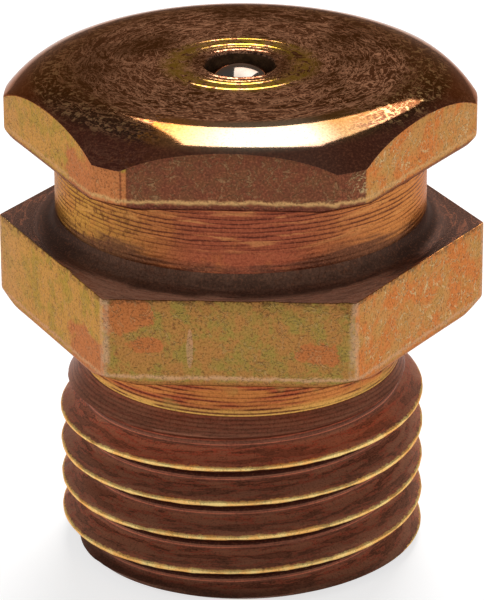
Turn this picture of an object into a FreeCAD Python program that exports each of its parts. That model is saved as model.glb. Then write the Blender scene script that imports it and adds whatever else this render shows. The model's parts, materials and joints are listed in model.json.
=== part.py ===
import FreeCAD, Part

import math
import os

from FreeCAD import Vector

# A button-head grease nipple, turned from hexagon bar, with a spring-loaded ball valve inside.
# Millimetres and degrees. Z is the nipple's axis and +Z points to the button head. The origin is the
# centre of the seat face, the underside of the lower hexagon, which lies against the machine.

# Hexagon bar, and the lengths along it from the stem's end to the head's face
hexagon_across_flats = 15.0
bar_corner_radius = 0.15
stem_length = 9.0
hexagon_height = 3.25
groove_height = 3.25
head_height = 2.6

# Button head: turned off the bar's corners, with a rounded rim that drops from the flat face
head_corner_cut = 0.31
head_rim_radius = 2.8
head_rim_drop = 1.13

# Both hexagons have their lower corners chamfered, down to a circle this far outside the flats, and
# between the corners the lower edge of each flat is rounded
chamfer_outside_flats = 0.5
chamfer_angle = 30.0
flat_edge_radius = 0.28

# Neck groove between the hexagons, which takes the coupler's claws
groove_depth = 0.89
neck_foot_fillet = 0.65
neck_top_fillet = 0.2

# Threaded stem: G 1/4, drawn at its crest diameter, with a relief under the seat face
thread_diameter = 13.157
thread_lead_in = 0.6
relief_depth = 0.88
relief_length = 1.9
relief_fillet = 0.3
stem_end_chamfer = 0.9

# Grease passage: inlet hole in the head's face, valve chamber, and a recess in the stem's end
inlet_diameter = 2.5
inlet_edge_break = 0.06
drill_point_angle = 118.0
recess_depth = 1.6
recess_step = 0.5

# Ball, spring and the pierced disc that holds them in
ball_diameter = 3.5
ball_below_face = 0.05
spring_wire = 0.4
spring_active_turns = 6.0
spring_closed_turns = 1.0
spring_shelf = 0.2
retainer_thickness = 1.2
retainer_edge_break = 0.1

# Clearances and fits
ball_side_clearance = 0.35
ball_seat_clearance = 0.02
spring_side_clearance = 0.4
spring_end_clearance = 0.02
closed_coil_gap = 0.02
retainer_bite = 0.01

# Levels along the axis
stem_end = -stem_length
head_underside = hexagon_height + groove_height
head_face = head_underside + head_height
recess_floor = stem_end + recess_depth

# Radii of the turned forms
across_corners = hexagon_across_flats / math.cos(math.radians(30))
head_radius = across_corners / 2 - head_corner_cut
neck_radius = hexagon_across_flats / 2 - groove_depth
thread_radius = thread_diameter / 2
relief_radius = thread_radius - relief_depth
inlet_radius = inlet_diameter / 2

# The ball sits just under the head's face, and the seat is the passage's edge that it closes
ball_radius = ball_diameter / 2
ball_centre = head_face - ball_below_face - ball_radius
seat_edge = ball_centre + math.sqrt(ball_radius**2 - inlet_radius**2) + ball_seat_clearance
chamber_radius = ball_radius + ball_side_clearance
recess_radius = chamber_radius + recess_step

# The spring stands on the retainer, and its upper coil cups the ball
spring_mean_radius = chamber_radius - spring_side_clearance - spring_wire / 2
spring_inner_radius = spring_mean_radius - spring_wire / 2
spring_low = recess_floor + spring_end_clearance
spring_high = ball_centre - math.sqrt(ball_radius**2 - spring_inner_radius**2) - spring_end_clearance


def at(radius, height):
    return Vector(radius, 0, height)


def chain(*corners):
    """Edges through (radius, height) corners, where a third number rounds the corner to that radius."""
    points = [at(*corner[:2]) for corner in corners]
    edges, start = [], points[0]
    for before, corner, after, size in zip(points, points[1:], points[2:], corners[1:]):
        if len(size) == 2:
            edges.append(Part.makeLine(start, corner))
            start = corner
            continue
        back, ahead = (before - corner).normalize(), (after - corner).normalize()
        half_angle = back.getAngle(ahead) / 2
        reach = size[2] / math.tan(half_angle)
        to_middle = (back + ahead).normalize() * (size[2] / math.sin(half_angle) - size[2])
        first, last = corner + back * reach, corner + ahead * reach
        edges.append(Part.makeLine(start, first))
        edges.append(Part.Arc(first, corner + to_middle, last).toShape())
        start = last
    return edges + [Part.makeLine(start, points[-1])]


def turned(edges):
    """Solid of revolution of a closed outline drawn in the XZ plane."""
    return Part.Face(Part.Wire(edges)).revolve(Vector(0, 0, 0), Vector(0, 0, 1), 360)


def disc(radius, low, high):
    return Part.makeCylinder(radius, high - low, at(0, low))


def hexagon_bar():
    """Length of drawn bar, corners on the X axis, with its slightly rounded long edges."""
    corners = [
        Vector(math.cos(math.radians(60 * i)), math.sin(math.radians(60 * i)), 0) * (across_corners / 2)
        for i in range(7)
    ]
    section = Part.Face(Part.makePolygon([corner + at(0, stem_end) for corner in corners]))
    bar = section.extrude(at(0, head_face - stem_end))
    long_edges = [edge for edge in bar.Edges if abs(edge.Vertexes[0].Z - edge.Vertexes[1].Z) > stem_length]
    return bar.makeFillet(bar_corner_radius, long_edges)


def turning_outline():
    """Half-section of everything the lathe cuts, from the stem's end up to the head's face."""
    chamfer_radius = hexagon_across_flats / 2 + chamfer_outside_flats
    chamfer_rise = math.tan(math.radians(chamfer_angle))
    blank_radius = across_corners / 2 + 1
    blank_low = (blank_radius - chamfer_radius) * chamfer_rise
    head_low = head_underside + (head_radius - chamfer_radius) * chamfer_rise
    rim_centre = at(
        head_radius - math.sqrt(head_rim_radius**2 - (head_rim_radius - head_rim_drop) ** 2),
        head_face - head_rim_radius,
    )
    rim_low = at(head_radius, head_face - head_rim_drop)
    rim_top = rim_centre + at(0, head_rim_radius)
    rim_middle = rim_centre + ((rim_low + rim_top) / 2 - rim_centre).normalize() * head_rim_radius
    side = chain(
        (0, stem_end),
        (thread_radius - stem_end_chamfer, stem_end),
        (thread_radius, stem_end + stem_end_chamfer),
        (thread_radius, -relief_length - thread_lead_in),
        (relief_radius, -relief_length),
        (relief_radius, 0, relief_fillet),
        (chamfer_radius, 0),
        (blank_radius, blank_low),
        (blank_radius, hexagon_height),
        (neck_radius, hexagon_height, neck_foot_fillet),
        (neck_radius, head_underside, neck_top_fillet),
        (chamfer_radius, head_underside),
        (head_radius, head_low),
        (head_radius, rim_low.z),
    )
    rim = Part.Arc(rim_low, rim_middle, rim_top).toShape()
    return side + [rim] + chain((rim_top.x, head_face), (0, head_face), (0, stem_end))


def grease_passage():
    """Inlet, conical end of the drilled chamber, chamber, and the retainer's recess."""
    cone_drop = (chamber_radius - inlet_radius) / math.tan(math.radians(drill_point_angle / 2))
    over = 1.0
    return turned(
        chain(
            (0, stem_end - over),
            (recess_radius, stem_end - over),
            (recess_radius, recess_floor),
            (chamber_radius, recess_floor),
            (chamber_radius, seat_edge - cone_drop),
            (inlet_radius, seat_edge),
            (inlet_radius, head_face - inlet_edge_break),
            (inlet_radius + inlet_edge_break + over, head_face + over),
            (0, head_face + over),
            (0, stem_end - over),
        )
    )


def nipple_body():
    body = hexagon_bar().common(turned(turning_outline()))
    lower_edges = [
        edge
        for edge in body.Edges
        if type(edge.Curve) is Part.Line
        and edge.BoundBox.ZLength < 1e-6
        and min(abs(edge.BoundBox.ZMin), abs(edge.BoundBox.ZMin - head_underside)) < 1e-6
    ]
    return body.makeFillet(flat_edge_radius, lower_edges).cut(grease_passage())


def check_ball():
    return Part.makeSphere(ball_radius, at(0, ball_centre))


def ball_spring():
    """Compression spring: closed coils at both ends, ground flat, with a smooth run into the open coils."""
    turns = spring_active_turns + 2 * spring_closed_turns
    steps_per_turn = 12
    steps = round(turns * steps_per_turn)
    closed_pitch = spring_wire + closed_coil_gap

    def openness(turn):
        """0 in the closed coils and 1 in the open ones, changing over half a turn."""
        inside = min(turn, turns - turn) - spring_closed_turns
        share = min(max(2 * inside, 0), 1)
        return share * share * (3 - 2 * share)

    shares = [openness((step + 0.5) / steps_per_turn) for step in range(steps)]
    spare_rise = spring_high - spring_low - closed_pitch * turns
    points, height = [], spring_low
    for step in range(steps + 1):
        angle = 2 * math.pi * step / steps_per_turn
        points.append(Vector(math.cos(angle), math.sin(angle), 0) * spring_mean_radius + at(0, height))
        if step < steps:
            height += closed_pitch / steps_per_turn + spare_rise * shares[step] / sum(shares)

    centre_line = Part.BSplineCurve()
    centre_line.interpolate(points)
    heading = centre_line.tangent(centre_line.FirstParameter)[0]
    wire_section = Part.Wire(Part.makeCircle(spring_wire / 2, points[0], heading))
    coil = Part.Wire(centre_line.toShape()).makePipeShell([wire_section], True, True)
    return coil.common(disc(chamber_radius, spring_low, spring_high))


def spring_retainer():
    """Pierced disc, pressed into the recess up to its floor."""
    outside = recess_radius + retainer_bite
    hole = spring_inner_radius - spring_shelf
    low = recess_floor - retainer_thickness
    blank = disc(outside, low, recess_floor).cut(disc(hole, low, recess_floor))
    lower_edges = [edge for edge in blank.Edges if abs(edge.BoundBox.ZMax - low) < 1e-6]
    return blank.makeChamfer(retainer_edge_break, lower_edges)


os.makedirs("parts", exist_ok=True)
for make_piece in (nipple_body, check_ball, ball_spring, spring_retainer):
    piece = make_piece()
    solid = piece.Solids[0]
    print(make_piece.__name__, len(piece.Solids), "solid,", round(solid.Volume, 3), "mm3, valid", solid.isValid())
    solid.exportStep(f"parts/{make_piece.__name__}.step")
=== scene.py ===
import json
import math

import bmesh
import bpy
import numpy as np
from mathutils import Matrix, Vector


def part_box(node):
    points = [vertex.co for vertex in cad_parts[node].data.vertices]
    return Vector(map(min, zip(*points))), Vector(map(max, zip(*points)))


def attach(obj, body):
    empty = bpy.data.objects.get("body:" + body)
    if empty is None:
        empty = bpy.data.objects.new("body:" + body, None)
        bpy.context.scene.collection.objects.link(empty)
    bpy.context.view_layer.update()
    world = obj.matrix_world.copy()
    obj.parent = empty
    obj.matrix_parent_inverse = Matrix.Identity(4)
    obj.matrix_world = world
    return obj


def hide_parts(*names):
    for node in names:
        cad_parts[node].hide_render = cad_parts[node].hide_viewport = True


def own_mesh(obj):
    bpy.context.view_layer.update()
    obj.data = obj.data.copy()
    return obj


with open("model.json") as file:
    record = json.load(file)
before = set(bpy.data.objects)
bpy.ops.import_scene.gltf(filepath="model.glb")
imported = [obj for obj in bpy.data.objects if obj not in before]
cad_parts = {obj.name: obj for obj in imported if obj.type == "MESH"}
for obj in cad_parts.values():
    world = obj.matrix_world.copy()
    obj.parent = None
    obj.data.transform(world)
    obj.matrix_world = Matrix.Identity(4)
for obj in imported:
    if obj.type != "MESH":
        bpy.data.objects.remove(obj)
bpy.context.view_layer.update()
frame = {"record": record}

# Nipple body: button head, neck, spanner hexagon, relief and threaded stem, turned in one piece from
# drawn hexagon bar of free-cutting steel, then zinc plated and yellow passivated. Its top is laid dark
# bronze as a painted dark reflection of the room, and the film is rubbed bright along the thread's crests.
# All sizes are in millimetres.
body_low, body_high = (np.array(corner) * 1000 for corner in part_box("nipple_body"))
mounts = {mount["name"]: mount for mount in frame["record"]["mounts"]}
flat_distance = body_high[1]
head_face = body_high[2]
stem_end = body_low[2]
hexagon_height = mounts["spanner_hexagon"]["pos_m"][2] * 2000
head_underside = mounts["coupler_groove"]["pos_m"][2] * 2000 - hexagon_height
thread_radius = mounts["thread_stem"]["dims"]["r_mm"]
bar_corner_radius = 0.15
head_radius = 8.35
head_corner_rounding = 0.02
rim_start = 5.90
rim_radius = 3.22
upper_edge = 0.035
lower_edge_at_flat = 0.28
lower_edge_at_corner = 0.14
chamfer_outside_flats = 0.5
chamfer_radius = flat_distance + chamfer_outside_flats
chamfer_slope = math.tan(math.radians(30))
groove_depth = 0.89
neck_radius = flat_distance - groove_depth
neck_foot_fillet = 0.65
neck_top_fillet = 0.2
relief_depth = 0.88
relief_radius = thread_radius - relief_depth
relief_end = -1.9
relief_fillet = 0.3
lead_in = 1.24
end_chamfer = 0.8
end_chamfer_length = 0.45
pitch = 1.337
thread_depth = 0.856
crest_half_width = 0.06
crest_rubbed_off = 0.012
crest_wear = 0.02
crest_rounding = 0.05
root_rounding = 0.06
cone_rounding = 0.03
flank_slope = math.tan(math.radians(27.5))
crest_level = -3.218
inlet_radius = 1.25
inlet_edge = 0.06
face_ring_end = 3.0
face_ring_fade = 0.3
face_ring_spacing = 0.27
neck_ring_spacing = 0.16
ledge_ring_spacing = 0.2
relief_ring_spacing = 0.155

# Degrees from the middle of a flat to its corner, closer together where the rim has turned the head's
# corners off and round the bar's own corner
columns_from_flat = np.concatenate(
    [np.linspace(0, 25.4, 14), [25.9, 26.07, 26.3, 27.2, 28.3, 29.1, 29.5, 29.67, 29.84, 30]]
)
side_columns = np.concatenate([-columns_from_flat[::-1], columns_from_flat[1:-1]])
turn = np.concatenate([side_columns + 60 * side + 30 for side in range(6)] + [[360.0]])


def hexagon_radius(turn):
    """Distance from the axis to the bar's side at an angle: the flat's distance over the cosine of the
    angle from its middle, and at a corner the far crossing with the circle that rounds the corner."""
    from_flat = np.radians(np.abs(turn % 60 - 30))
    from_corner = math.radians(30) - from_flat
    inside = flat_distance - bar_corner_radius
    tangent = math.atan(inside * math.tan(math.radians(30)) / flat_distance)
    corner_centre = inside / math.cos(math.radians(30))
    under_root = bar_corner_radius**2 - (corner_centre * np.sin(from_corner)) ** 2
    rounded = corner_centre * np.cos(from_corner) + np.sqrt(np.maximum(under_root, 0))
    return np.where(from_flat > tangent, rounded, flat_distance / np.cos(from_flat))


def lesser(first, second, rounding):
    """The smaller of two values, rounded where they cross: half of their sum less the root of the squared
    difference and the squared rounding."""
    return (first + second - np.sqrt((first - second) ** 2 + rounding**2)) / 2


def greater(first, second, rounding):
    """The larger of two values, rounded where they cross: the lesser of their opposites, turned back."""
    return -lesser(-first, -second, rounding)


def straight(start, end, count):
    """Rows on the straight line from start to end, each a pair of radius and height."""
    share = np.linspace(0, 1, count)[:, None]
    return tuple((1 - share) * first + share * last for first, last in zip(start, end))


def bend(start, corner, end, count):
    """Rows round a corner: the quadratic curve that leaves start towards the corner and reaches end
    from it, each a pair of radius and height."""
    share = np.linspace(0, 1, count)[:, None]
    weights = (1 - share) ** 2, 2 * share * (1 - share), share**2
    return tuple(sum(w * p for w, p in zip(weights, point)) for point in zip(start, corner, end))


def rim_height(radius):
    """Height of the rounded rim: the circle of the rim's radius that touches the face at rim_start."""
    outwards = np.maximum(radius - rim_start, 0)
    return head_face - rim_radius + np.sqrt(rim_radius**2 - outwards**2)


def flats(side, level, top):
    """Rows down a hexagon's side: a small rounding from the surface above, whose height top gives at a
    radius, the straight side, and the lower edge's rounding, which ends on the chamfer or the underside."""
    def floor(radius):
        return level + np.maximum(radius - chamfer_radius, 0) * chamfer_slope

    corner_share = np.clip((side - chamfer_radius) / 0.3 + 0.2, 0, 1)
    edge = lower_edge_at_flat + (lower_edge_at_corner - lower_edge_at_flat) * corner_share
    lower = bend((side, floor(side) + edge), (side, floor(side)), (side - edge, floor(side - edge)), 6)
    inner = np.minimum(side - edge, chamfer_radius) - 0.01
    start = side - upper_edge
    upper = bend((start, top(start)), (side, top(side)), (side, top(side) - upper_edge), 3)
    wall = straight((side, top(side) - upper_edge), (side, floor(side) + edge), 4)
    return upper, wall, lower, straight((side - edge, floor(side - edge)), (inner, floor(inner)), 2)


def turning_marks(along, spacing, depth, seed):
    """Fine ridges left by the lathe tool: a cosine along the cut whose depth wanders with a slower sine
    sum, so that no two ridges are alike."""
    start = np.random.default_rng(seed).uniform(0, 2 * math.pi, 3)
    uneven = sum(np.sin(along * rate + phase) for rate, phase in zip((2.3, 5.1, 9.7), start)) / 3
    return depth * (1 + 0.8 * uneven) * (np.cos(2 * math.pi * along / spacing) - 1) / 2


def thread_rows():
    """Rows along the helix. Each keeps its place on the thread's form and climbs one pitch in a turn, cut
    off level at the relief and at the stem's end. The radius is the form's: crest, flank and root by the
    distance from the crest's middle, no more than the two cones at the thread's ends."""
    half_pitch = pitch / 2
    from_crest = np.array([0, 0.035, 0.06, 0.085, 0.13, 0.2, 0.31, 0.41, 0.49, 0.56, half_pitch])
    one_pitch = np.concatenate([from_crest[::-1], -from_crest[1:-1]])
    crests = crest_level + pitch * np.arange(1, -6, -1)
    level = (crests[:, None] + one_pitch).reshape(-1, 1)
    climb = pitch * turn / 360
    height = np.clip(level + climb, stem_end, relief_end)
    along = (height - crest_level - climb) / pitch
    crest_number = np.round(along)
    helix_angle = np.radians(turn) + 2 * math.pi * crest_number
    distance = np.abs(along - crest_number) * pitch
    start = np.random.default_rng(4).uniform(0, 2 * math.pi, 5)
    rates = 5.3, 11.9, 23.7, 37.1, 61.3
    wear = sum(np.sin(helix_angle * rate + phase) for rate, phase in zip(rates, start)) / 5
    wear = wear * np.cos(math.pi * distance / pitch) ** 2
    flank = thread_radius - (distance - crest_half_width * (1 + 0.55 * wear)) / flank_slope
    crest = thread_radius - crest_rubbed_off - crest_wear * wear
    radius = greater(thread_radius - thread_depth, lesser(flank, crest, crest_rounding), root_rounding)
    lead_cone = relief_radius + (relief_end - height) / lead_in * (thread_radius - relief_radius)
    end_cone = thread_radius - end_chamfer * (1 - (height - stem_end) / end_chamfer_length)
    return lesser(lesser(radius, lead_cone, cone_rounding), end_cone, cone_rounding), height


def round_axis(radius, height, angle):
    """Points round the axis: the radius times the cosine and the sine of the angle, and the height."""
    return np.stack(np.broadcast_arrays(radius * np.cos(angle), radius * np.sin(angle), height), axis=-1)


def surface(name, points, row_slots=None):
    """Mesh over a grid of points in millimetres: each cell between four neighbours is a face, and points
    that lie on each other are welded, which closes seams and poles."""
    rows, columns = points.shape[:2]
    first = np.arange((rows - 1) * columns).reshape(rows - 1, columns)[:, :-1].reshape(-1, 1)
    cells = first + np.array([0, columns, columns + 1, 1])
    mesh = bpy.data.meshes.new(name)
    mesh.from_pydata((points.reshape(-1, 3) / 1000).tolist(), [], cells.tolist())
    if row_slots is not None:
        mesh.polygons.foreach_set("material_index", np.repeat(row_slots[:-1], columns - 1).astype(np.int32))
    shape = bmesh.new()
    shape.from_mesh(mesh)
    bmesh.ops.remove_doubles(shape, verts=shape.verts, dist=2e-7)
    bmesh.ops.dissolve_degenerate(shape, edges=shape.edges, dist=1e-8)
    shape.to_mesh(mesh)
    shape.free()
    mesh.shade_smooth()
    mesh.set_sharp_from_angle(angle=math.radians(32))
    piece = bpy.data.objects.new(name, mesh)
    bpy.context.scene.collection.objects.link(piece)
    return piece


bar = hexagon_radius(turn)
head_side = lesser(bar, head_radius, head_corner_rounding)
ball_low, ball_high = (np.array(corner) * 1000 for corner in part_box("check_ball"))
ball_radius = (ball_high[2] - ball_low[2]) / 2
ball_centre = (ball_high[2] + ball_low[2]) / 2
plug_low, plug_high = (np.array(corner) * 1000 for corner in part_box("spring_retainer"))
seat_clearance = 0.02
seat_edge = ball_centre + math.sqrt(ball_radius**2 - inlet_radius**2) + seat_clearance
ball_side_clearance = 0.35
chamber_radius = ball_radius + ball_side_clearance
drill_point_angle = 118
chamber_top = seat_edge - (chamber_radius - inlet_radius) / math.tan(math.radians(drill_point_angle / 2))
press_bite = 0.01
recess_radius = plug_high[0] - press_bite
recess_edge = 0.1

face_radii = np.concatenate(
    [
        np.linspace(inlet_radius + inlet_edge, face_ring_end, 26),
        np.linspace(face_ring_end + face_ring_fade, rim_start, 7),
    ]
)
face_rings = turning_marks(face_radii, face_ring_spacing, 0.017, 1)
face_rings = face_rings * np.clip((face_ring_end - face_radii) / face_ring_fade, 0, 1)
face = face_radii[:, None], head_face + face_rings[:, None]
rim_radii = rim_start + np.linspace(0, 1, 10)[:, None] ** 0.9 * (head_side - upper_edge - rim_start)
head_flats = flats(head_side, head_underside, rim_height)
neck_heights = np.linspace(head_underside - neck_top_fillet, hexagon_height + neck_foot_fillet, 54)[:, None]
neck = neck_radius + turning_marks(neck_heights, neck_ring_spacing, 0.014, 2), neck_heights
top_radii = neck_radius + neck_foot_fillet + np.linspace(0, 1, 14)[:, None] * (
    bar - upper_edge - neck_radius - neck_foot_fillet
)
hexagon_top = top_radii, hexagon_height + turning_marks(top_radii, ledge_ring_spacing, 0.008, 5)
hexagon_flats = flats(bar, 0, lambda radius: hexagon_height)
relief_heights = np.linspace(-relief_fillet, relief_end, 44)[:, None]
relief = relief_radius + turning_marks(relief_heights, relief_ring_spacing, 0.018, 3), relief_heights


def underside_row(side):
    """Radius of a row on a hexagon's underside: the smaller of a little inside its rounded edge and a
    little inside the chamfer."""
    return np.minimum(side - 0.4, chamfer_radius - 0.1)


# The whole skin, row by row, from the inlet hole over the outside and back up through the passage
skin = [
    ("face", face),
    ("face", (rim_radii, rim_height(rim_radii))),
    ("face", head_flats[0]),
    ("flats", head_flats[1]),
    ("flats", head_flats[2]),
    ("neck", head_flats[3]),
    ("neck", straight((underside_row(head_side), head_underside),
                      (neck_radius + neck_top_fillet, head_underside), 2)),
    ("neck", bend((neck_radius + neck_top_fillet, head_underside), (neck_radius, head_underside),
                  (neck_radius, head_underside - neck_top_fillet), 5)),
    ("neck", neck),
    ("ledge", bend((neck_radius, hexagon_height + neck_foot_fillet), (neck_radius, hexagon_height),
                   (neck_radius + neck_foot_fillet, hexagon_height), 7)),
    ("ledge", hexagon_top),
    ("flats", hexagon_flats[0]),
    ("flats", hexagon_flats[1]),
    ("flats", hexagon_flats[2]),
    ("relief", hexagon_flats[3]),
    ("relief", straight((underside_row(bar), 0), (relief_radius + relief_fillet, 0), 2)),
    ("relief", bend((relief_radius + relief_fillet, 0), (relief_radius, 0),
                    (relief_radius, -relief_fillet), 5)),
    ("relief", relief),
    ("thread", thread_rows()),
    ("bore", straight((thread_radius - end_chamfer, stem_end), (recess_radius + recess_edge, stem_end), 4)),
    ("bore", straight((recess_radius + recess_edge, stem_end), (recess_radius, stem_end + recess_edge), 2)),
    ("bore", straight((recess_radius, stem_end + recess_edge), (recess_radius, plug_high[2]), 3)),
    ("bore", straight((recess_radius, plug_high[2]), (chamber_radius, plug_high[2]), 2)),
    ("bore", straight((chamber_radius, plug_high[2]), (chamber_radius, chamber_top), 3)),
    ("bore", straight((chamber_radius, chamber_top), (inlet_radius, seat_edge), 3)),
    ("bore", straight((inlet_radius, seat_edge), (inlet_radius, head_face - inlet_edge), 3)),
    ("face", straight((inlet_radius, head_face - inlet_edge), (inlet_radius + inlet_edge, face[1][0, 0]), 3)),
]
body_films = ["face", "flats", "neck", "ledge", "relief", "thread", "bore"]
grids = [np.broadcast_arrays(radius, height, turn[None, :])[:2] for _, (radius, height) in skin]
radius = np.concatenate([grid[0] for grid in grids])
height = np.concatenate([grid[1] for grid in grids])
row_slots = np.concatenate([[body_films.index(film)] * len(grid[0]) for (film, _), grid in zip(skin, grids)])

# Knocks on the spanner hexagon's upper edge: the angle, reach and depth of each
for knock_turn, reach, depth in (
    (280.3, 0.28, 0.10),
    (298.2, 0.22, 0.09),
    (221.0, 0.30, 0.07),
    (63.0, 0.30, 0.10),
    (131.0, 0.25, 0.08),
    (262.0, 0.20, 0.05),
):
    sideways = np.radians(turn - knock_turn) * flat_distance
    away = (sideways**2 + (height - hexagon_height) ** 2 + (radius - bar) ** 2) / reach**2
    radius = radius - depth * np.exp(-away)

body = surface("body_skin", round_axis(radius, height, np.radians(turn)), row_slots)


class Signal:
    """The output of a shader node. Arithmetic on it adds Math nodes, and add() any other kind of node."""

    def __init__(self, tree, socket=None):
        self.tree = tree
        self.socket = socket

    def add(self, kind, settings=None, inputs=None, output=0):
        """A new node with its settings, then the values or links of its sockets."""
        made = self.tree.nodes.new("ShaderNode" + kind)
        for name, value in (settings or {}).items():
            setattr(made, name, value)
        for name, value in (inputs or {}).items():
            if isinstance(value, Signal):
                self.tree.links.new(value.socket, made.inputs[name])
            else:
                made.inputs[name].default_value = value
        return Signal(self.tree, made.outputs[output])

    def math(self, operation, *values):
        return self.add("Math", {"operation": operation}, dict(enumerate(values)))

    def __add__(self, other):
        return self.math("ADD", self, other)

    def __sub__(self, other):
        return self.math("SUBTRACT", self, other)

    def __rsub__(self, other):
        return self.math("SUBTRACT", other, self)

    def __mul__(self, other):
        return self.math("MULTIPLY", self, other)

    def __truediv__(self, other):
        return self.math("DIVIDE", self, other)

    def __pow__(self, other):
        return self.math("POWER", self, other)

    __radd__ = __add__
    __rmul__ = __mul__

    def rise(self, low, high):
        """0 below low and 1 above high, with a smooth step between. It falls where high is the lower."""
        inputs = {"Value": self, "From Min": low, "From Max": high}
        return self.add("MapRange", {"interpolation_type": "SMOOTHSTEP"}, inputs)

    def near(self, middle, width):
        """1 at middle, falling to 0 at width from it."""
        return self.math("ABSOLUTE", self - middle).rise(width, 0)

    def larger(self, other):
        return self.math("MAXIMUM", self, other)

    def grooves(self, spacing):
        """1 along the floors of the lathe tool's ridges and 0 along their tops."""
        return 0.5 - self.math("COSINE", self * (2 * math.pi / spacing)) * 0.5

    def tint(self, low, high):
        """Colour that goes from low to high with this signal."""
        colours = [(*colour, 1) if isinstance(colour, tuple) else colour for colour in (low, high)]
        return self.add("Mix", {"data_type": "RGBA"}, {0: self, 6: colours[0], 7: colours[1]}, output=2)


class Place:
    """Where a shaded point is: object coordinates in millimetres, and round the axis."""

    def __init__(self, tree):
        start = Signal(tree)
        metres = start.add("TexCoord", output=3)
        self.mm = start.add("VectorMath", {"operation": "SCALE"}, {0: metres, "Scale": 1000.0})
        split = start.add("SeparateXYZ", inputs={0: self.mm})
        self.x, self.y, self.z = (Signal(tree, split.socket.node.outputs[i]) for i in range(3))
        self.radius = (self.x * self.x + self.y * self.y) ** 0.5
        self.cos = self.x / self.radius
        self.sin = self.y / self.radius
        self.round = start.math("ARCTAN2", self.y, self.x) / (2 * math.pi)

    def vector(self, x, y, z):
        return self.x.add("CombineXYZ", inputs={0: x, 1: y, 2: z})

    def noise(self, vector=None, scale=1.0, detail=3.0, roughness=0.55, distortion=0.0):
        """Noise in space, or over the vector given."""
        inputs = {"Vector": vector or self.mm, "Scale": scale, "Detail": detail, "Roughness": roughness}
        return self.x.add("TexNoise", inputs=inputs | {"Distortion": distortion})

    def oval(self, x, z, half_width, half_height, ragged):
        """1 inside an oval patch on the front and back sides, whose outline the signal ragged breaks up."""
        away = ((self.x - x) / half_width) ** 2 + ((self.z - z) / half_height) ** 2
        return (away + ragged).rise(1.15, 0.85)

    def rings(self, around, along, level, detail=3.0, roughness=0.55, distortion=0.0):
        """Noise drawn out round the axis: around waves to a turn, along waves to a millimetre of level."""
        vector = self.vector(self.cos * around, self.sin * around, level * along)
        return self.noise(vector, 1.0, detail, roughness, distortion)


def film_material(name, look, roughness, metallic=0.9, bump_depth=0.01, coat=0.05, specular=0.5, specks=1.0):
    """Plated metal: look gives its colour, dullness and relief, and may give where it is bare metal. A
    fine grain darkens and reddens the colour in specks, and the clear film on top is a thin coat. The
    bump's depth is in millimetres."""
    dark_speck, red_speck = (0.07, 0.018, 0.01), (0.75, 0.26, 0.12)
    material = bpy.data.materials.new(name)
    material.use_nodes = True
    tree = material.node_tree
    shader = tree.nodes["Principled BSDF"]
    shader.inputs["Metallic"].default_value = metallic
    shader.inputs["Specular IOR Level"].default_value = specular
    shader.inputs["Specular Tint"].default_value = (0.8, 0.55, 0.45, 1)
    shader.inputs["Coat Weight"].default_value = coat
    shader.inputs["Coat Roughness"].default_value = 0.2
    at = Place(tree)
    colour, dullness, relief_height, *bare = look(at)
    grain = at.noise(scale=12.0, detail=3.0, roughness=0.8)
    colour = (grain.rise(0.5, 0.64) * (0.38 * specks)).tint(colour, dark_speck)
    colour = (grain.rise(0.5, 0.34) * (0.18 * specks)).tint(colour, red_speck)
    if bare:
        tree.links.new((bare[0] * (1 - metallic) + metallic).socket, shader.inputs["Metallic"])
    bump = dullness.add("Bump", inputs={"Height": relief_height + grain * 0.3, "Distance": bump_depth / 1000})
    tree.links.new(colour.socket, shader.inputs["Base Color"])
    tree.links.new((dullness * 0.1 + roughness).socket, shader.inputs["Roughness"])
    tree.links.new(bump.socket, shader.inputs["Normal"])
    return material


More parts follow.
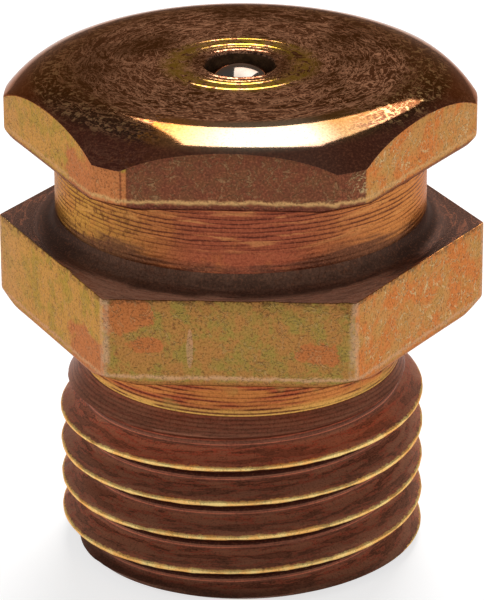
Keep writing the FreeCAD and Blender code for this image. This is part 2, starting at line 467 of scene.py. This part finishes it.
def face_look(at):
    """Dark bronze, laid much darker than the film as a painted dark reflection of the room, with short light
    squiggles along the turning rings that are painted glints, olive gold on the ridge round the hole with
    bright gold arc glints painted on it in front of and behind the hole, and a rounded rim laid pale in
    front, where the softbox's highlight falls, and dark with pale dots elsewhere, a painted shading that
    keeps that highlight in front and dark below it."""
    black_bronze, brown_bronze, left_shade = (0.022, 0.014, 0.013), (0.12, 0.052, 0.036), (0.035, 0.023, 0.02)
    squiggle_glint, fine_squiggle_glint = (1.0, 0.52, 0.30), (0.95, 0.46, 0.26)
    olive_gold, arc_glint_gold = (0.34, 0.22, 0.03), (0.80, 0.58, 0.06)
    rim_brown, left_dots, right_dots = (0.045, 0.024, 0.016), (0.34, 0.19, 0.09), (0.42, 0.25, 0.11)
    rim_streak, outer_rim_shade = (0.50, 0.24, 0.12), (0.12, 0.035, 0.022)
    lit_rim_gold, lit_rim_pale, lit_rim_brown = (0.29, 0.11, 0.022), (0.26, 0.21, 0.145), (0.10, 0.06, 0.025)

    streaks = at.rings(3.6, 2.2, at.radius, detail=4.0, roughness=0.65, distortion=1.0)
    fine = at.rings(6.0, 4.2, at.radius, detail=3.0, roughness=0.65, distortion=0.8)
    cloud = at.noise(scale=0.45, detail=3.0)
    # Painted glints: light squiggles along the turning rings, more of them towards the front, along with a
    # real bump from the same rings.
    glint_spread = cloud.rise(0.30, 0.60).larger(at.y.rise(1.0, -4.0) * 0.9)
    # Painted dark reflection: the face's bronze is laid much darker than the film, standing for the dark room
    # it mirrors.
    colour = cloud.rise(0.35, 0.65).tint(black_bronze, brown_bronze)
    colour = (streaks.near(0.5, 0.036) * glint_spread).tint(colour, squiggle_glint)
    colour = (fine.near(0.48, 0.032) * (glint_spread * 0.5 + 0.4)).tint(colour, fine_squiggle_glint)
    # Painted shade: the face is laid darker towards its left side.
    colour = (at.x.rise(-1.5, -6.0) * 0.5).tint(colour, left_shade)

    ridge = at.radius.near(2.3, 0.75) * fine.rise(0.40, 0.50)
    # Painted glints: bright gold arcs on the ring round the hole, only in front of and behind it.
    arc_glints = at.radius.near(2.2, 0.7) * at.cos.near(0.05, 0.8) * fine.rise(0.38, 0.52)
    colour = (ridge * 0.8).tint(colour, olive_gold)
    colour = (arc_glints * 0.7).tint(colour, arc_glint_gold)

    # Painted shade: outside its front the rim is laid dark with pale dots, so that the softbox's highlight
    # does not run round it.
    dots = at.noise(scale=4.6, detail=3.0, roughness=0.6).rise(0.54, 0.61)
    dotted = dots.tint(rim_brown, at.cos.rise(-0.5, 0.7).tint(left_dots, right_dots))
    dotted = (streaks.near(0.5, 0.03) * 0.6).tint(dotted, rim_streak)
    colour = (at.radius.rise(5.4, 6.5) * at.radius.rise(8.2, 7.4)).tint(colour, dotted)

    # Painted highlight: the rim is laid pale in front, where the softbox's highlight falls. It is golden
    # towards the highlight's left end and browner towards its right.
    lit_front_sector = at.cos * 0.17 - at.sin * 0.985 + (dots - 0.5) * 0.09 + (streaks - 0.5) * 0.2
    pale = at.cos.rise(-0.42, 0.12).tint(lit_rim_gold, lit_rim_pale)
    pale = at.cos.rise(0.34, 0.56).tint(pale, lit_rim_brown)
    colour = (at.radius.rise(5.5, 5.9) * lit_front_sector.rise(0.76, 0.87)).tint(colour, pale)
    # Painted shade: the rim's outer band below the highlight is laid dark.
    colour = (at.radius.rise(7.15, 7.6) * 0.85).tint(colour, outer_rim_shade)
    return colour, streaks * 0.3, streaks + fine * 0.5


def flats_look(at):
    """Gold on the left sides, olive in the middle and orange on the right, partly the film's own colours and
    partly painted reflection, with orange patches, dark specks, pale crooked scratches, pale corners, a pale
    line above the rounded lower edge that is a painted highlight, and the rounding under it laid dark as
    painted shade. The head's front is laid dark brown as a painted dark reflection, with two scored lines
    near its left corner."""
    gold, olive_gold = (0.56, 0.30, 0.065), (0.42, 0.28, 0.045)
    left_orange, tan = (0.50, 0.175, 0.055), (0.56, 0.30, 0.12)
    orange, pale_orange, right_olive = (0.60, 0.195, 0.045), (0.54, 0.26, 0.075), (0.46, 0.27, 0.07)
    ochre, moss_green, blush_brown = (0.405, 0.195, 0.048), (0.325, 0.225, 0.046), (0.46, 0.185, 0.055)
    patch_orange, pale_scratch = (0.47, 0.155, 0.043), (0.56, 0.30, 0.18)
    head_brown, head_light, head_red = (0.155, 0.05, 0.025), (0.185, 0.08, 0.032), (0.22, 0.05, 0.025)
    speck_brown, scored = (0.13, 0.035, 0.018), (0.09, 0.02, 0.012)
    right_vein, faint_vein = (0.74, 0.54, 0.26), (0.62, 0.42, 0.20)
    lower_edge_highlight, head_edge_highlight = (0.60, 0.34, 0.17), (0.62, 0.36, 0.14)
    head_edge_shade, lower_edge_shade = (0.13, 0.03, 0.018), (0.45, 0.17, 0.045)
    top_brown, corner_pale = (0.12, 0.05, 0.02), (0.62, 0.38, 0.22)

    head = at.z.rise(5.0, 5.5)
    level = at.z - head * head_underside
    cloud = at.noise(scale=0.7, detail=5.0, roughness=0.6, distortion=0.3)
    small = at.noise(scale=3.0, detail=4.0, roughness=0.65)
    blush = at.noise(scale=1.3, detail=4.0).rise(0.46, 0.60)
    moss = at.noise(scale=2.2, detail=4.0, roughness=0.6).rise(0.42, 0.58)

    flushed = (at.sin.rise(-0.45, -0.8) * level.rise(2.6, 0.4) + (cloud - 0.5) * 2.0).rise(0.35, 0.6)
    left = flushed.tint(blush.tint(gold, olive_gold), left_orange)
    left = (at.sin.rise(-0.35, 0.0) * 0.5).tint(left, tan)
    right = cloud.rise(0.42, 0.56).tint(orange, pale_orange)
    right = (blush * 0.5).tint(right, right_olive)

    ragged = (cloud - 0.5) * 2.6 + (small - 0.5) * 2.4
    front = at.y.rise(0.0, -1.0) * (1 - head)
    patch = at.oval(-3.6, 2.75, 0.95, 0.75, ragged).larger(at.oval(-2.85, 1.6, 0.6, 0.32, ragged))
    patch = patch.larger(at.oval(3.1, 1.3, 0.75, 0.5, ragged)) * front
    patch = patch.larger(cloud.rise(0.54, 0.62) * (1 - front) * 0.8)
    middle = (blush * 0.3).tint(moss.tint(ochre, moss_green), blush_brown)
    middle = patch.tint(middle, patch_orange)
    middle = (at.oval(-1.35, 1.5, 0.12, 0.75, ragged * 0.6) * front * 0.5).tint(middle, pale_scratch)
    # Painted dark reflection: the head's middle flats are laid dark brown.
    head_painted_dark = (small.rise(0.4, 0.6) * 0.5).tint(head_brown, head_light)
    middle = head.tint(middle, (blush * 0.25).tint(head_painted_dark, head_red))

    # The side colours, gold on the left, olive in the middle and orange on the right, are partly the film's
    # own and partly painted reflection.
    colour = (at.cos - head * 0.085).rise(-0.505, -0.495).tint(left, middle)
    colour = (at.cos - head * 0.055).rise(0.495, 0.505).tint(colour, right)
    speck = at.noise(scale=4.5, detail=3.0, roughness=0.7).rise(0.60, 0.68)
    vein = at.noise(scale=1.6, detail=3.0, distortion=1.2).near(0.5, 0.03) * small.rise(0.4, 0.55)
    colour = (speck * 0.5).tint(colour, speck_brown)
    colour = (vein * at.cos.rise(0.45, 0.6)).tint(colour, right_vein)
    colour = (vein * 0.25).tint(colour, faint_vein)
    lines = at.cos.near(-0.415, 0.006).larger(at.cos.near(-0.437, 0.006)) * at.y.rise(0.0, -1.0)
    colour = (lines * head * 0.7).tint(colour, scored)

    # Painted highlight: a pale line above the rounded lower edge.
    edge_highlight = (level + (small - 0.5) * 0.3).near(0.37, 0.12) * small.rise(0.15, 0.40)
    under = level.rise(0.27, 0.17)
    top_edge = level.rise(3.0, 3.2) * small.rise(0.42, 0.55) * (1 - head)
    corner = at.radius.rise(8.52, 8.60) * small.rise(0.3, 0.6)
    colour = (edge_highlight * 0.9).tint(colour, head.tint(lower_edge_highlight, head_edge_highlight))
    # Painted shade: the underside of the lower edge's rounding is laid dark below the pale line.
    colour = (under * head * 0.85).tint(colour, head_edge_shade)
    colour = (under * (1 - head) * 0.7).tint(colour, lower_edge_shade)
    colour = (top_edge * 0.6).tint(colour, top_brown)
    colour = (corner * 0.7).tint(colour, corner_pale)
    return colour, small, small + vein


def neck_look(at):
    """Gold on the left, red-brown in the middle and orange on the right of the neck, partly the film's own
    colours and partly painted reflection, with dark rings in the tool's grooves, hatching on the left and a
    foot laid dark with a wavy edge as painted shade where the neck meets the ledge."""
    gold, red_brown = (0.56, 0.28, 0.046), (0.34, 0.08, 0.036)
    orange, warm = (0.64, 0.24, 0.058), (0.54, 0.18, 0.045)
    groove_black, ring_light = (0.06, 0.01, 0.007), (0.66, 0.32, 0.10)
    hatch_brown, foot_shade_brown = (0.14, 0.05, 0.012), (0.085, 0.033, 0.02)

    waves = at.rings(3.0, 4.0, at.z, detail=4.0, distortion=0.5)
    cloud = at.noise(scale=0.9, detail=4.0)
    # The gold, red-brown and orange sides are partly the film's own colours and partly painted reflection.
    colour = at.cos.rise(-0.98, -0.1).tint(gold, red_brown)
    colour = at.cos.rise(0.25, 0.98).tint(colour, orange)
    colour = (cloud.rise(0.5, 0.65) * 0.4).tint(colour, warm)

    high = at.z.rise(4.3, 5.2)
    grooves = (at.z + waves * 0.2).grooves(neck_ring_spacing) ** 2
    colour = (grooves * waves.rise(0.36, 0.52) * (high * 0.85 + 0.1)).tint(colour, groove_black)
    colour = (waves.rise(0.46, 0.34) * high * 0.4).tint(colour, ring_light)
    hatch = at.rings(40.0, 5.0, at.z + at.round * 9.0, detail=2.0).rise(0.56, 0.64)
    colour = (hatch * at.cos.rise(-0.3, -0.7) * 0.7).tint(colour, hatch_brown)
    # Painted shade: the neck's foot is laid dark where it meets the ledge, with a wavy edge.
    lift = at.cos.math("ABSOLUTE", at.cos).near(0.62, 0.4) * 0.5
    foot = (at.z + (waves - 0.5) * 1.4 - lift).rise(4.3, 3.8)
    colour = (foot * 0.85).tint(colour, foot_shade_brown)
    return colour, waves, waves + hatch * 0.5


def ledge_look(at):
    """Dark brown top of the spanner hexagon, laid much lighter in front as painted light, with reddish rings
    near its edge, and laid almost black in the rounded foot of the neck as painted shade."""
    dark_brown, front_painted_light = (0.085, 0.038, 0.025), (0.92, 0.50, 0.33)
    ring_dark, ring_red, foot_shade_black = (0.06, 0.028, 0.02), (0.42, 0.14, 0.07), (0.045, 0.022, 0.015)

    waves = at.rings(4.0, 3.0, at.radius, detail=4.0, distortion=0.4)
    # Painted light: the ledge's front is laid much lighter than its sides.
    colour = at.sin.rise(-0.45, -0.85).tint(dark_brown, front_painted_light)
    colour = (waves.near(0.45, 0.08) * 0.4).tint(colour, ring_dark)
    colour = (waves.near(0.56, 0.03) * 0.5).tint(colour, ring_red)
    # Painted shade: the rounded foot of the neck is laid almost black.
    foot = (at.radius + (waves - 0.5) * 0.6).rise(neck_radius + 0.85, neck_radius + 0.35)
    colour = (foot * 0.85).tint(colour, foot_shade_black)
    return colour, waves + foot * 2, waves


def relief_look(at):
    """Gold and orange rings of the relief, dark red in the tool's grooves and the lowest ring the
    brightest."""
    red_orange, orange, lowest_gold = (0.44, 0.10, 0.032), (0.55, 0.19, 0.046), (0.74, 0.43, 0.10)
    groove_red, faded_green = (0.08, 0.012, 0.008), (0.36, 0.25, 0.06)

    waves = at.rings(2.5, 3.5, at.z, detail=4.0, distortion=0.3)
    colour = waves.rise(0.4, 0.6).tint(red_orange, orange)
    colour = (at.z.rise(-1.5, -1.85) * 0.8).tint(colour, lowest_gold)
    grooves = (at.z + waves * 0.06).grooves(relief_ring_spacing) ** 2 * waves.rise(0.66, 0.46)
    colour = (grooves * 0.95).tint(colour, groove_red)
    green = at.noise(scale=0.8, detail=2.0).rise(0.55, 0.65)
    colour = (green * 0.4).tint(colour, faded_green)
    return colour, waves, waves


def thread_look(at):
    """Dark red-brown flanks with fine lines along the helix, roots laid dark as painted shade with two thin
    red lines, the lower flank under each crest laid almost black as a painted shadow, rings on the lead-in, a
    dark chamfered end, and crests rubbed to gold."""
    flank_brown, flank_red = (0.60, 0.21, 0.115), (0.90, 0.36, 0.20)
    red_line, dark_line = (1.0, 0.20, 0.11), (0.12, 0.05, 0.035)
    upper_flank, lead_brown = (0.22, 0.11, 0.07), (0.28, 0.11, 0.06)
    root_shade_brown, root_red = (0.15, 0.06, 0.04), (0.85, 0.24, 0.13)
    ring_dark, end_dark, crest_underside_shade = (0.10, 0.03, 0.02), (0.12, 0.06, 0.04), (0.06, 0.018, 0.012)
    crest_gold, crest_pale = (1.0, 0.54, 0.16), (1.0, 0.74, 0.28)

    along = at.z / pitch - at.round
    side = along.math("FRACT", along - crest_level / pitch + 0.5) - 0.5
    lines = at.rings(3.0, 7.0, at.z - at.round * pitch, detail=5.0, roughness=0.65)
    colour = lines.rise(0.4, 0.6).tint(flank_brown, flank_red)
    colour = (lines.near(0.5, 0.03) * 0.8).tint(colour, red_line)
    colour = (lines.near(0.44, 0.03) * 0.7).tint(colour, dark_line)
    colour = (side.rise(0.36, 0.14) * 0.5).tint(colour, upper_flank)
    colour = (at.z.rise(-3.3, -2.7) * 0.45).tint(colour, lead_brown)

    # Painted shade: the thread's roots are laid dark.
    root = side.math("ABSOLUTE", side).rise(0.34, 0.41)
    root_lines = side.near(-0.44, 0.035).larger(side.near(0.43, 0.025)) * lines.rise(0.3, 0.55)
    top_rings = (at.z + lines * 0.08).grooves(0.12) ** 2 * at.z.rise(-2.75, -2.5)
    # Painted shadow: the lower flank just under each crest is laid almost black, below the lead-in.
    crest_shadow = side.rise(-0.02, -0.08) * at.z.rise(-2.9, -3.3)
    colour = (root * 0.7).tint(colour, root_shade_brown)
    colour = root_lines.tint(colour, root_red)
    colour = (top_rings * 0.5).tint(colour, ring_dark)
    colour = (at.z.rise(-8.35, -8.7) * 0.85).tint(colour, end_dark)
    colour = crest_shadow.tint(colour, crest_underside_shade)

    ragged = at.noise(scale=5.0, detail=4.0, roughness=0.65)
    crest = (at.radius + ragged * 0.19).rise(thread_radius, thread_radius + 0.04)
    colour = crest.tint(colour, at.noise(scale=1.6, detail=3.0).rise(0.35, 0.65).tint(crest_gold, crest_pale))
    return colour, lines, lines + ragged * 0.5, crest


def bore_look(at):
    """Dull brown steel inside the drilled passage and on the stem's end."""
    dull_brown, light_brown = (0.12, 0.07, 0.04), (0.26, 0.15, 0.08)
    waves = at.rings(2.0, 3.0, at.radius + at.z, detail=3.0)
    return waves.rise(0.35, 0.65).tint(dull_brown, light_brown), waves, waves


finishes = {
    "face": dict(look=face_look, roughness=0.055, metallic=1.0, bump_depth=0.0015, coat=0.0),
    "flats": dict(look=flats_look, roughness=0.27, specks=1.35),
    "neck": dict(look=neck_look, roughness=0.27),
    "ledge": dict(look=ledge_look, roughness=0.18, metallic=0.4, bump_depth=0.006, coat=0.0, specular=0.1),
    "relief": dict(look=relief_look, roughness=0.25),
    "thread": dict(look=thread_look, roughness=0.32, metallic=0.4, coat=0.0, specular=0.2),
    "bore": dict(look=bore_look, roughness=0.40),
}
for film in body_films:
    body.data.materials.append(film_material("film_" + film, **finishes[film]))
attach(body, "nipple")
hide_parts("nipple_body")

# Check ball: a hardened and polished steel ball, sprung up against the edge of the inlet hole. It is
# loose in its chamber, and only its crown shows in the head's hole, with a thin brown film of old grease.


def ball_points(rows, columns):
    """Sphere: the angle from the pole runs down the rows and the turn round the axis along the columns."""
    down = np.linspace(0, math.pi, rows)[:, None]
    around = np.linspace(0, 2 * math.pi, columns)
    return round_axis(ball_radius * np.sin(down), ball_centre + ball_radius * np.cos(down), around)


def ball_look(at):
    """Polished steel laid very dark, a painted dark reflection of the hole and the room, brown in faint
    clouds where grease has dried on it.
    """
    # Painted dark reflection: the polished steel is laid far darker than steel is.
    steel, dried_grease = (0.13, 0.115, 0.10), (0.09, 0.075, 0.06)
    cloud = at.noise(scale=1.2, detail=4.0)
    return cloud.rise(0.35, 0.7).tint(steel, dried_grease), cloud, cloud


ball = surface("valve_ball", ball_points(49, 97))
polish = film_material(
    "ball_polish", ball_look, roughness=0.0, metallic=1.0, bump_depth=0.0002, coat=0.1, specks=0.0
)
ball.data.materials.append(polish)
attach(ball, "ball")
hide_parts("check_ball")

# Ball spring: a compression spring coiled cold from round spring wire, its end coils closed and ground
# flat. It stands on the retainer's inner edge and holds the ball up, and nothing else fixes it.
spring_low, spring_high = (np.array(corner) * 1000 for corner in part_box("ball_spring"))
wire_radius = 0.2
spring_side_clearance = 0.4
coil_radius = chamber_radius - spring_side_clearance - wire_radius
spring_turns = 8
closed_coil_gap = 0.02
closed_coil_pitch = 2 * wire_radius + closed_coil_gap


def spring_points(rows, columns):
    """Tube round a helix: the centre line climbs by the closed pitch and, away from the ends, by a share
    of the spare rise, and each point is the wire's circle round it, ground level at both ends. The first
    and last rows are drawn together to close the ends."""
    turns = np.linspace(0, spring_turns, rows)
    share = np.clip(2 * (np.minimum(turns, spring_turns - turns) - 1), 0, 1)
    open_rise = np.cumsum(share**2 * (3 - 2 * share))
    open_rise = (open_rise - open_rise[0]) / (open_rise[-1] - open_rise[0])
    spare = spring_high[2] - spring_low[2] - closed_coil_pitch * spring_turns
    climb = spring_low[2] + closed_coil_pitch * turns + spare * open_rise
    around = np.linspace(0, 2 * math.pi, columns)
    wire = np.full(rows, wire_radius)
    wire[[0, -1]] = 0
    turns[0], turns[-1] = turns[1], turns[-2]
    climb[0], climb[-1] = climb[1], climb[-2]
    outwards = coil_radius + wire[:, None] * np.cos(around)
    level = np.clip(climb[:, None] + wire[:, None] * np.sin(around), spring_low[2], spring_high[2])
    return round_axis(outwards, level, 2 * math.pi * turns[:, None])


def spring_look(at):
    """Grey-brown drawn wire with faint streaks."""
    grey_brown, light_grey = (0.26, 0.21, 0.16), (0.42, 0.37, 0.31)
    cloud = at.noise(scale=2.0, detail=4.0)
    return cloud.rise(0.3, 0.7).tint(grey_brown, light_grey), cloud, cloud


spring = surface("valve_spring", spring_points(spring_turns * 48 + 1, 15))
spring.data.materials.append(film_material("spring_wire", spring_look, roughness=0.25))
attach(spring, "nipple")
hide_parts("ball_spring")
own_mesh(spring)

# Spring retainer: a small pierced disc, parted off from round bar and pressed into the recess in the
# stem's end. Grease leaves through its hole, and the spring stands on its inner edge.
plug_radius = plug_high[0]
spring_shelf = 0.2
plug_hole = coil_radius - wire_radius - spring_shelf
plug_edge = 0.1
top = plug_high[2]
bottom = plug_low[2]
plug_outline = [
    straight((plug_hole, top), (plug_radius, top), 4),
    straight((plug_radius, top), (plug_radius, bottom + plug_edge), 3),
    bend((plug_radius, bottom + plug_edge), (plug_radius, bottom), (plug_radius - plug_edge, bottom), 5),
    straight((plug_radius - plug_edge, bottom), (plug_hole + plug_edge, bottom), 4),
    bend((plug_hole + plug_edge, bottom), (plug_hole, bottom), (plug_hole, bottom + plug_edge), 5),
    straight((plug_hole, bottom + plug_edge), (plug_hole, top), 3),
]
plug_around = np.linspace(0, 2 * math.pi, 97)
plug_radii, plug_levels = (np.concatenate([block[i] for block in plug_outline]) for i in range(2))


def plug_look(at):
    """Brass-coloured film with turning rings."""
    dull_brass, bright_brass = (0.42, 0.27, 0.10), (0.62, 0.44, 0.2)
    waves = at.rings(2.0, 5.0, at.radius, detail=3.0)
    return waves.rise(0.35, 0.65).tint(dull_brass, bright_brass), waves, waves


plug = surface("retainer_disc", round_axis(plug_radii, plug_levels, plug_around))
plug.data.materials.append(film_material("retainer_film", plug_look, roughness=0.3))
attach(plug, "nipple")
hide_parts("spring_retainer")

# Studio: a plain white sheet under the stem's end, a grey room and one oblong softbox above and behind.
# The sheet shows white to the camera and in the metal, and still takes the nipple's shadow.
floor_radius = 3000
floor_gap = 0.01
sheet_glow = 0.62
glow_to_camera = 1.15


def floor_points(rows, columns):
    """Disc: the radius grows down the rows and the turn goes round the columns."""
    out = np.linspace(0, floor_radius, rows)[:, None]
    around = np.linspace(0, -2 * math.pi, columns)
    return round_axis(out, stem_end - floor_gap, around)


floor = surface("floor", floor_points(6, 49))
paper = bpy.data.materials.new("white_sheet")
paper.use_nodes = True
rays = Signal(paper.node_tree).add("LightPath").socket.node.outputs
seen = Signal(paper.node_tree, rays["Is Camera Ray"]) * glow_to_camera
seen = seen + Signal(paper.node_tree, rays["Is Glossy Ray"])
seen = seen + Signal(paper.node_tree, rays["Is Transmission Ray"])
shader = paper.node_tree.nodes["Principled BSDF"]
shader.inputs["Base Color"].default_value = (0.45, 0.45, 0.45, 1)
shader.inputs["Roughness"].default_value = 0.9
shader.inputs["Emission Color"].default_value = (1, 1, 1, 1)
paper.node_tree.links.new((seen * sheet_glow).socket, shader.inputs["Emission Strength"])
floor.data.materials.append(paper)

world = bpy.data.worlds.new("room")
world.use_nodes = True
world.node_tree.nodes["Background"].inputs["Color"].default_value = (0.35, 0.35, 0.35, 1)
bpy.context.scene.world = world

# The camera's place and heading, fitted to the photograph's outlines
view_turn = -86.8
axis_height = 3.0
distance = 152.2
view_elevation = 22.36
axis_elevation = 23.37
camera_roll = -0.257
sideways = 0.065


def heading(turn, elevation):
    """Unit vector at that turn round the axis and elevation, in degrees."""
    turn, elevation = math.radians(turn), math.radians(elevation)
    flat = math.cos(elevation)
    return np.array([math.cos(turn) * flat, math.sin(turn) * flat, math.sin(elevation)])


def look_along(thing, place, back, roll=0.0):
    """Sets a camera or lamp at place, in millimetres, with its back towards the unit vector back."""
    right = np.cross([0, 0, 1], back)
    right = right / np.linalg.norm(right)
    up = np.cross(back, right)
    roll = math.radians(roll)
    rolled_right = right * math.cos(roll) + up * math.sin(roll)
    rolled_up = up * math.cos(roll) - right * math.sin(roll)
    matrix = np.eye(4)
    matrix[:3] = np.column_stack([rolled_right, rolled_up, back, np.array(place) / 1000])
    thing.matrix_world = Matrix(matrix.tolist())
    bpy.context.scene.collection.objects.link(thing)


softbox = bpy.data.lights.new("softbox", "AREA")
softbox.shape = "RECTANGLE"
softbox.size = 0.17
softbox.size_y = 0.25
softbox.energy = 1.1
softbox_turn = view_turn + 180 - 9
softbox_elevation = 53
softbox_distance = 350
softbox_back = heading(softbox_turn, softbox_elevation)
look_along(bpy.data.objects.new("softbox", softbox), softbox_back * softbox_distance, softbox_back)

camera = bpy.data.cameras.new("camera")
camera.sensor_width = 36
camera.lens = 256.0
camera.clip_start = 0.01
camera_back = heading(view_turn, axis_elevation)
camera_right = heading(view_turn + 90, 0)
camera_place = np.array([0, 0, axis_height]) + heading(view_turn, view_elevation) * distance
camera_place = camera_place + camera_right * sideways
camera_object = bpy.data.objects.new("camera", camera)
look_along(camera_object, camera_place, camera_back, camera_roll)
bpy.context.scene.camera = camera_object
bpy.context.scene.view_settings.view_transform = "Standard"
